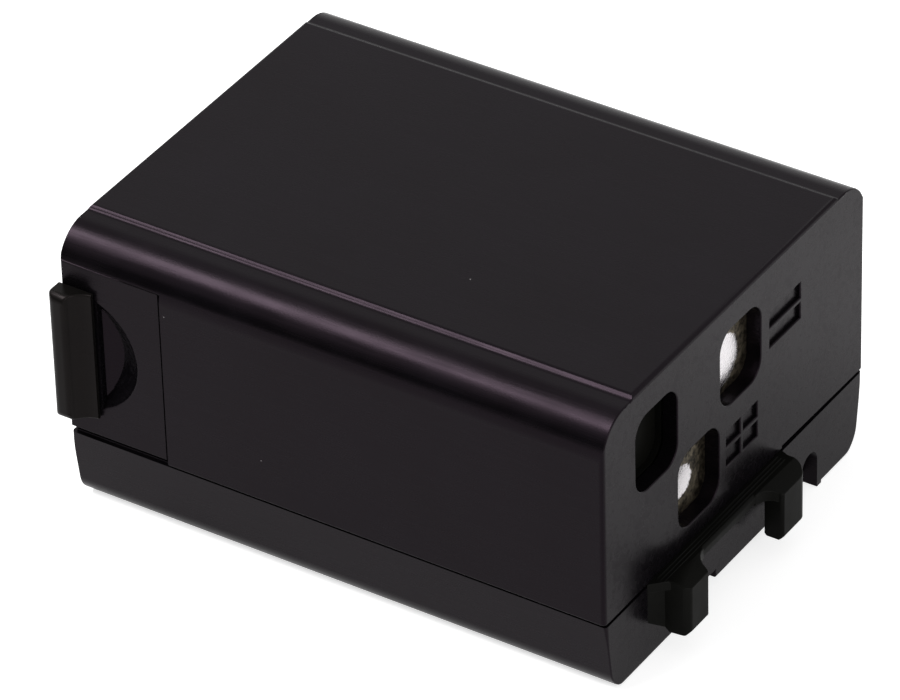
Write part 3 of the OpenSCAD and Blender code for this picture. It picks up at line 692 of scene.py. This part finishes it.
class StageSettings(bpy.types.PropertyGroup):
    azimuth: FloatProperty(
        name="Azimuth", description="Camera angle round the pack", default=math.radians(33.60), subtype="ANGLE"
    )
    elevation: FloatProperty(
        name="Elevation",
        description="Camera angle above the floor",
        default=math.radians(35.75),
        subtype="ANGLE",
    )
    roll: FloatProperty(name="Roll", description="Camera roll", default=math.radians(-1.70), subtype="ANGLE")
    distance: FloatProperty(
        name="Distance", description="Camera distance from the target", default=0.8413, unit="LENGTH"
    )
    target: FloatVectorProperty(
        name="Target",
        description="Point that the camera looks at",
        default=(-0.00085, -0.00233, 0.01925),
        subtype="XYZ",
    )
    lens: FloatProperty(name="Lens", description="Focal length in millimetres", default=282.5)
    card_distance: FloatProperty(
        name="Card distance", description="Distance of the black card", default=0.9, unit="LENGTH"
    )
    card_height: FloatProperty(
        name="Card height", description="Height of the black card", default=0.45, unit="LENGTH"
    )
    ambient: FloatProperty(name="Ambient", description="Level of the light from all round", default=0.55, min=0)


# Stage


# Soft lamps: direction from the pack, distance, width and height, and power
LAMPS = {
    # Above the latch end, for the long highlight on the near shoulder
    "Band_lamp": ((-0.449, -0.318, 0.835), 1.1, (0.9, 0.24), 13.0),
    # In front of the hook end, for the contacts
    "End_lamp": ((0.85, -0.25, 0.42), 1.2, (0.7, 0.5), 6.0),
}
LAMP_AIM = Vector((0, 0, 0.02))
# Direction of the black card from the pack, and its width and thickness in millimetres
CARD_SIDE = Vector((-0.46, -0.88, 0))
CARD_SIZE = (1400, 4)
# Share of white that the floor adds for every ray that shows it, and what it adds again for the camera's own rays
FLOOR_SHARE, CAMERA_SHARE = 0.35, 0.3


def flat_lamp(name, direction, distance, size, power, aim):
    """A soft rectangular lamp that looks at the pack."""
    data = bpy.data.lights.new(name, "AREA")
    data.shape, data.size, data.size_y, data.energy = "RECTANGLE", size[0], size[1], power
    lamp = bpy.data.objects.new(name, data)
    lamp.location = aim + Vector(direction).normalized() * distance
    lamp.rotation_euler = (lamp.location - aim).to_track_quat("Z", "Y").to_euler()
    bpy.context.scene.collection.objects.link(lamp)
    return lamp


def seen_rays(tree):
    """1 for rays that show the background: camera, glossy and transmission rays."""
    path = add(tree, "ShaderNodeLightPath")
    both = add(
        tree,
        "ShaderNodeMath",
        {0: path.outputs["Is Camera Ray"], 1: path.outputs["Is Glossy Ray"]},
        operation="ADD",
    )
    both = add(
        tree, "ShaderNodeMath", {0: both.outputs[0], 1: path.outputs["Is Transmission Ray"]}, operation="ADD"
    )
    return add(tree, "ShaderNodeMath", {0: both.outputs[0], 1: 1.0}, operation="MINIMUM").outputs[0]


class BATTERY_OT_stage(bpy.types.Operator):
    """Makes the camera, the floor, the lamps and the world"""

    bl_idname = "battery.stage"
    bl_label = "Stage"

    def execute(self, context):
        s = context.scene.battery_stage
        ahead = Vector((math.sin(s.azimuth), -math.cos(s.azimuth), 0))
        back = ahead * math.cos(s.elevation) + Vector((0, 0, math.sin(s.elevation)))
        right = Vector((math.cos(s.azimuth), math.sin(s.azimuth), 0))
        up = back.cross(right)
        cos, sin = math.cos(s.roll), math.sin(s.roll)
        right, up = cos * right + sin * up, cos * up - sin * right
        data = bpy.data.cameras.new("Camera")
        data.sensor_width, data.lens, data.clip_start, data.clip_end = 36, s.lens, 0.01, 50
        camera = bpy.data.objects.new("Camera", data)
        place = Matrix.Translation(Vector(s.target) + back * s.distance)
        camera.matrix_world = place @ Matrix((right, up, back)).transposed().to_4x4()
        context.scene.collection.objects.link(camera)
        context.scene.camera = camera

        work = bmesh.new()
        bmesh.ops.create_grid(work, x_segments=8, y_segments=8, size=3.0)
        mesh = bpy.data.meshes.new("Floor")
        work.to_mesh(mesh)
        work.free()
        floor = placed(mesh, "Floor")
        material, tree = new_material("Matt_white_laminate")
        # Matt white laminate: plain and pale, it shows white to the camera and keeps the pack's shadow
        mirror = add(tree, "ShaderNodeMath", {0: seen_rays(tree), 1: FLOOR_SHARE}, operation="MULTIPLY")
        ray = add(tree, "ShaderNodeLightPath").outputs["Is Camera Ray"]
        glow = add(
            tree, "ShaderNodeMath", {0: ray, 1: CAMERA_SHARE, 2: mirror.outputs[0]}, operation="MULTIPLY_ADD"
        )
        paint = add(tree, "ShaderNodeBsdfDiffuse", {"Color": linear("#D8D8D8")})
        shine = add(tree, "ShaderNodeEmission", {"Color": (1, 1, 1, 1), "Strength": glow.outputs[0]})
        both = add(tree, "ShaderNodeAddShader", {0: paint.outputs[0], 1: shine.outputs[0]})
        add(tree, "ShaderNodeOutputMaterial", {"Surface": both.outputs[0]})
        mesh.materials.append(material)

        for name, values in LAMPS.items():
            flat_lamp(name, *values, LAMP_AIM)

        # A black card low on the latch side, which the shoulder and the foot of the near side mirror
        wide, thick = CARD_SIZE
        card = blocks("Black_card", [((-wide / 2, -thick / 2, 0), (wide / 2, thick / 2, s.card_height / MM))])
        card.location = CARD_SIDE * s.card_distance
        card.rotation_euler.z = math.atan2(CARD_SIDE.x, -CARD_SIDE.y)
        material, tree = new_material("Black_velvet")
        # Black velvet: it gives back next to nothing
        nap = add(tree, "ShaderNodeBsdfDiffuse", {"Color": linear("#060606")})
        add(tree, "ShaderNodeOutputMaterial", {"Surface": nap.outputs[0]})
        card.data.materials.append(material)

        world = bpy.data.worlds.new("Studio")
        context.scene.world = world
        world.use_nodes = True
        tree = world.node_tree
        tree.nodes.clear()
        level = add(tree, "ShaderNodeMapRange", {"Value": seen_rays(tree), "To Min": s.ambient, "To Max": 1.0})
        sky = add(tree, "ShaderNodeBackground", {"Color": (1, 1, 1, 1), "Strength": level.outputs["Result"]})
        add(tree, "ShaderNodeOutputWorld", {"Surface": sky.outputs[0]})
        context.scene.view_settings.view_transform = "Standard"
        return {"FINISHED"}


# Case


def sign_pockets(case, y, z, plus):
    """The boxes that leave a raised sign standing in its recess."""
    w, h, bar = case.sign_width / 2 / MM, case.sign_height / 2 / MM, case.sign_bar / 2 / MM
    x0, x1 = END_X / MM - case.sign_depth / MM, END_X / MM + 1
    y, z = y / MM, z / MM
    rows = [(z - h, z - bar), (z + bar, z + h)]
    columns = [(y - w, y - bar), (y + bar, y + w)] if plus else [(y - w, y + w)]
    return [((x0, a, c), (x1, b, d)) for a, b in columns for c, d in rows]


def step_profile(side, radius, height=0.5, plate=23.6):
    """What to cut off the raised plate so that its side falls in an S of two arcs. In millimetres."""
    top = TOP_Z / MM
    limit = math.acos(1 - height / (2 * radius))
    turns = [limit * i / 6 for i in range(7)]
    # The cut starts a hair outside the plate's side and below its foot, so that no faces coincide
    edge, foot = plate + 0.02, top - height - 0.002
    low = [(edge - radius * math.sin(t), foot + radius * (1 - math.cos(t))) for t in turns]
    span = 2 * radius * math.sin(limit)
    high = [(plate - span + radius * math.sin(t), top - radius * (1 - math.cos(t))) for t in turns[-2::-1]]
    outline = low + high + [(plate - span, top + 1), (edge, top + 1)]
    return extruded("step", [(side * y, z) for y, z in outline], 0, -END_X / MM - 1, END_X / MM + 1)


def half_round(centre, radius, edge_x, sides=64):
    """The part of a circle in the XZ plane beyond a line across it, as an outline in millimetres."""
    x, z = centre
    start = math.acos((edge_x - x) / radius)
    turns = [start * (2 * i / sides - 1) for i in range(sides + 1)]
    return [(x + radius * math.cos(t), z + radius * math.sin(t)) for t in turns]


# The latch panel on each long side, in millimetres: how far it lies in, and the line along its edge
PANEL_IN = 0.25
LINE_X, LINE_Z, LINE_DEPTH = (-23.66, -23.3), (10, 35.5), 0.5
# What fills the solid's own scoop before the finer one is cut: radius, start beside the bar, lowest and top depth
FILL_RADIUS, FILL_X, FILL_DEPTHS = 7.9, -32.8, (2.5, 0.1)
# The finger scoop: its centre, and where it starts beside the bar
SCOOP_CENTRE, SCOOP_X = (-35.4, SEAM_Z / MM + 12.45), -32.52
# Radius and depth of the finger scoop from its floor to its rim: slope, thin ledge, rim
SCOOP = [(5.0, 2.0), (6.3, 1.25), (6.45, 1.22), (8.35, 0.0), (8.35, -1.0)]
# Depth of the floor of the scoop beside the bar, from where it falls away
SCOOP_START = 0.9
# Depth of the seam groove as a share of its height
GROOVE_DEPTH = 1.6


def bowl(name, panel, side, sides=96):
    """What to cut out of the latch panel for the finger scoop beside the bar."""
    x, z = SCOOP_CENTRE
    turns = [2 * math.pi * k / sides for k in range(sides)]
    work = bmesh.new()
    rings = [
        [work.verts.new(Vector((x + r * math.cos(t), panel - side * d, z + r * math.sin(t))) * MM) for t in turns]
        for r, d in SCOOP
    ]
    for one, two in zip(rings, rings[1:]):
        for k in range(sides):
            work.faces.new((one[k], one[k - 1], two[k - 1], two[k]))
    work.faces.new(rings[0])
    work.faces.new(rings[-1])
    floor_r, deep = SCOOP[0]
    slant = (SCOOP_START - deep, -side * (x + floor_r - SCOOP_X), 0)
    for spot, out in (((SCOOP_X, 0, 0), (-1, 0, 0)), ((SCOOP_X, panel - side * SCOOP_START, 0), slant)):
        geom = work.verts[:] + work.edges[:] + work.faces[:]
        clip = bmesh.ops.bisect_plane(
            work, geom=geom, plane_co=Vector(spot) * MM, plane_no=out, clear_outer=True
        )
        bmesh.ops.holes_fill(work, edges=[e for e in clip["geom_cut"] if isinstance(e, bmesh.types.BMEdge)])
    return outward(work, name)


def shell_edges(edge):
    """Edges of the upper shell that show: the windows, the signs, the seam and the latch panel."""
    m = middle(edge)
    end, half, seam = END_X / MM, END_Y / MM, SEAM_Z / MM
    if at(m.x, end) and m.z > SEAM_Z + 0.5 * MM:
        return True
    # The seam, and the lips of the gap above it at the hook end
    if at(m.z, seam) or at(m.z, seam + 0.45, 0.02) or at(m.z, seam + 0.3, 0.02):
        return at(abs(m.x), end, 0.7) or at(abs(m.y), half, 0.7)
    by_latch = at(abs(m.y), half, 0.3) and m.x < -26 * MM
    return by_latch and not along(edge, 2) and not at(m.z, SCOOP_CENTRE[1], 9)


def base_edges(edge):
    """Edges of the lower shell at the hook end, but for those round the notch."""
    m = middle(edge)
    return m.z < 10 * MM and m.x > END_X - 0.7 * MM and not 14 < m.y / MM < 20


class BATTERY_OT_case(bpy.types.Operator):
    """Makes the two case shells with eased edges and the polarity signs"""

    bl_idname = "battery.case"
    bl_label = "Case"

    def execute(self, context):
        case = context.scene.battery_case
        upper = clean_copy("upper_case", "upper_shell")
        minus = sign_pockets(case, case.minus_y, case.minus_z, False)
        plus = sign_pockets(case, case.plus_y, case.plus_z, True)
        cut(upper, blocks("signs", minus + plus))
        for side in (-1, 1):
            cut(upper, step_profile(side, case.step_round / MM))
            inner, outer = side * (END_Y / MM - LINE_DEPTH), side * (END_Y / MM + 1)
            line = sorted_box((LINE_X[0], inner, LINE_Z[0]), (LINE_X[1], outer, LINE_Z[1]))
            cut(upper, blocks("line", [line]))
            panel = side * (END_Y / MM - PANEL_IN)
            depths = [panel - side * depth for depth in FILL_DEPTHS]
            fill = extruded("fill", half_round(SCOOP_CENTRE, FILL_RADIUS, FILL_X), 1, *depths)
            cut(upper, fill, "UNION")
            cut(upper, bowl("bowl", panel, side))
        fit(ease(upper, (case.edge, shell_edges, 3)), "pack", "case_plastic", "case", "upper_case")
        lower = clean_copy("lower_case", "lower_shell")
        x, y, z, high = END_X / MM, END_Y / MM, SEAM_Z / MM, case.seam_groove / MM
        for side in ring("groove", (-x, -y, z - high), (x, y, z + 1), GROOVE_DEPTH * high):
            cut(lower, side)
        fit(ease(lower, (case.edge, base_edges, 3)), "pack", "case_plastic", "case", "lower_case")
        return {"FINISHED"}


def outside(edge):
    """Convex edges of the hook strip that stand out of the case."""
    return edge.is_convex and middle(edge).x > END_X + 0.3 * MM


def upright(edge):
    """Upright corners of the prongs, away from the case."""
    return edge.is_convex and along(edge, 2) and middle(edge).x > END_X + 2.6 * MM


def far_corner(edge):
    """Upright outer corner of the far prong."""
    return upright(edge) and middle(edge).y > 7 * MM


def near_corner(edge):
    """Upright outer corner of the near prong."""
    return upright(edge) and middle(edge).y < -17 * MM


# Middle of the first ridge: out from the end face, sideways, and up from the seam
RIDGE_START = Vector((0.35, -5, -0.05)) * MM


class BATTERY_OT_hooks(bpy.types.Operator):
    """Makes the hook strip with rounded prongs and eased edges"""

    bl_idname = "battery.hooks"
    bl_label = "Hooks"

    def execute(self, context):
        s = context.scene.battery_hooks
        strip = clean_copy("hook_strip", "hook_insert")
        ease(strip, (0.7 * MM, far_corner, 5), (0.28 * MM, near_corner, 4), (0.12 * MM, outside, 3), angle=25)
        fit(strip, "pack", "hook_nylon", "hook", "hook_strip")
        # Drawn ridges left by the tool along the top of the strip
        lines = node_piece(
            "strip_ridges",
            ridges,
            {
                "Count": ("Int", s.ridge_count),
                "Start": ("Vector", RIDGE_START + Vector((END_X, 0, SEAM_Z))),
                "Step": ("Vector", (s.ridge_step, 0, 0)),
                "Radius": ("Float", s.ridge_radius),
                "Length": ("Float", s.ridge_length),
                "Material": ("Material", FINISHES["hook"]),
            },
        )
        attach(lines, "pack")
        return {"FINISHED"}


def lens(name, x, y, z, radius, depth):
    """A low round cap that bulges along -X, to press a dish into a plate. In millimetres."""
    rings, sides = 10, 64
    points, faces = [(x - depth, y, z)], []
    for i in range(1, rings + 1):
        r = radius * i / rings
        for k in range(sides):
            turn = 2 * math.pi * k / sides
            points.append((x - depth * (1 - (r / radius) ** 2), y + r * math.cos(turn), z + r * math.sin(turn)))
    faces += [(0, 1 + (k + 1) % sides, 1 + k) for k in range(sides)]
    for i in range(rings - 1):
        a, b = 1 + i * sides, 1 + (i + 1) * sides
        faces += [(a + k, a + (k + 1) % sides, b + (k + 1) % sides, b + k) for k in range(sides)]
    last = 1 + (rings - 1) * sides
    points.append((x + 1, y, z))
    faces += [(last + k, last + (k + 1) % sides, len(points) - 1) for k in range(sides)]
    return closed(name, points, faces)


def plate_edges(edge):
    """Edges of a contact's outline."""
    return along(edge, 1) or along(edge, 2)


class BATTERY_OT_contacts(bpy.types.Operator):
    """Makes the two contacts, with the shallow dish that the radio's spring has wiped bright"""

    bl_idname = "battery.contacts"
    bl_label = "Contacts"

    def execute(self, context):
        s = context.scene.battery_contacts
        dishes = {"contact_plus": (*s.plus, s.plus_dish), "contact_minus": (*s.minus, s.minus_dish)}
        for node, (y, z, radius) in dishes.items():
            plate = clean_copy(node, node + "_plate")
            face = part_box(node)[1].x
            cut(plate, lens("dish", face / MM, y / MM, z / MM, radius / MM, s.dish_depth / MM))
            ease(plate, (0.06 * MM, plate_edges, 2), angle=60)
            FINISHES[node] = contact_nickel(node, y, z, radius)
            fit(plate, "pack", "contact_nickel", node, node)
        return {"FINISHED"}


def bar_ends(edge):
    """Edges round the ends of a finger bar, away from its foot."""
    return abs(middle(edge).y) > CREST_Y - 2.4 * MM and not along(edge, 2)


def bar_crest(edge):
    """Edge along the crest of a finger bar, on the side of the scoop."""
    return along(edge, 2) and abs(middle(edge).y) > CREST_Y - 0.5 * MM and middle(edge).x > -36.4 * MM


def tooth_edges(edge):
    """Edges of the catch tooth that stand out of the latch end."""
    return middle(edge).x < -END_X - 0.2 * MM


class BATTERY_OT_latch(bpy.types.Operator):
    """Makes the slider and its two finger bars"""

    bl_idname = "battery.latch"
    bl_label = "Latch"

    def execute(self, context):
        for side in ("near", "far"):
            node = "latch_bar_" + side
            bar = clean_copy(node, "finger_bar_" + side)
            ease(bar, (0.25 * MM, bar_ends, 4), (0.5 * MM, bar_crest, 5), angle=15)
            fit(bar, "latch", "latch_plastic", "latch", node)
        slider = clean_copy("latch_slider", "catch_slider")
        ease(slider, (0.15 * MM, tooth_edges, 3))
        fit(slider, "latch", "slider_plastic", "latch", "latch_slider")
        return {"FINISHED"}


class BATTERY_OT_springs(bpy.types.Operator):
    """Makes the two latch springs, each a coil of fixed length in the place of its CAD node"""

    bl_idname = "battery.springs"
    bl_label = "Springs"

    def execute(self, context):
        s = context.scene.battery_springs
        for side in ("near", "far"):
            node = "latch_spring_" + side
            low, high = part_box(node)
            centre = (low + high) / 2
            piece = node_piece(
                "coil_spring_" + side,
                coil,
                {
                    "Turns": ("Float", s.turns),
                    "Radius": ("Float", (high.z - low.z) / 2 - s.wire),
                    "Wire": ("Float", s.wire),
                    "Start": ("Vector", (low.x + s.wire, centre.y, centre.z)),
                    "Length": ("Float", high.x - low.x - 2 * s.wire),
                    "Material": ("Material", FINISHES["spring"]),
                },
            )
            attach(piece, "pack")
            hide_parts(node)
            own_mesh(piece)
        return {"FINISHED"}


# Inside the case

INSIDE = {
    "contact_carrier": "inner",
    "spring_bulkhead": "inner",
    "near_insulator": "card",
    "far_insulator": "card",
    "top_pad": "foam",
    "base_pad": "foam",
    "thermal_cutout": "cutout",
    "lead_plus": "red",
    "lead_cutout": "black",
    "lead_minus": "black",
}


class BATTERY_OT_inside(bpy.types.Operator):
    """Gives the CAD nodes inside the case their finishes"""

    bl_idname = "battery.inside"
    bl_label = "Inside"

    def execute(self, context):
        finish = dict(INSIDE)
        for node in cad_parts:
            if node.startswith("cell_"):
                finish[node] = "jacket"
            elif "_link_" in node:
                finish[node] = "link"
        for node, name in finish.items():
            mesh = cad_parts[node].data
            mesh.materials.clear()
            mesh.materials.append(FINISHES[name])
        return {"FINISHED"}


class BATTERY_OT_finishes(bpy.types.Operator):
    """Makes the materials"""

    bl_idname = "battery.finishes"
    bl_label = "Finishes"

    def execute(self, context):
        make_finishes(context.scene.battery_look)
        return {"FINISHED"}


STEPS = [
    BATTERY_OT_stage,
    BATTERY_OT_finishes,
    BATTERY_OT_case,
    BATTERY_OT_hooks,
    BATTERY_OT_contacts,
    BATTERY_OT_latch,
    BATTERY_OT_springs,
    BATTERY_OT_inside,
]
GROUPS = {
    "battery_case": CaseSettings,
    "battery_contacts": ContactSettings,
    "battery_hooks": HookSettings,
    "battery_springs": SpringSettings,
    "battery_look": LookSettings,
    "battery_stage": StageSettings,
}


class BATTERY_PT_panel(bpy.types.Panel):
    """Lists the steps and their settings"""

    bl_idname = "BATTERY_PT_panel"
    bl_label = "Radio battery pack"
    bl_space_type = "VIEW_3D"
    bl_region_type = "UI"
    bl_category = "Battery"

    def draw(self, context):
        for step in STEPS:
            self.layout.operator(step.bl_idname)
        for name, group in GROUPS.items():
            for key in group.__annotations__:
                self.layout.prop(getattr(context.scene, name), key)


def register():
    for group in GROUPS.values():
        bpy.utils.register_class(group)
    for name, group in GROUPS.items():
        setattr(bpy.types.Scene, name, PointerProperty(type=group))
    for step in STEPS:
        bpy.utils.register_class(step)
    bpy.utils.register_class(BATTERY_PT_panel)


def unregister():
    bpy.utils.unregister_class(BATTERY_PT_panel)
    for step in reversed(STEPS):
        bpy.utils.unregister_class(step)
    for name in GROUPS:
        delattr(bpy.types.Scene, name)
    for group in reversed(list(GROUPS.values())):
        bpy.utils.unregister_class(group)


def main():
    """Runs every step in order."""
    register()
    for step in STEPS:
        group, name = step.bl_idname.split(".")
        getattr(getattr(bpy.ops, group), name)()


if __name__ == "__main__":
    main()
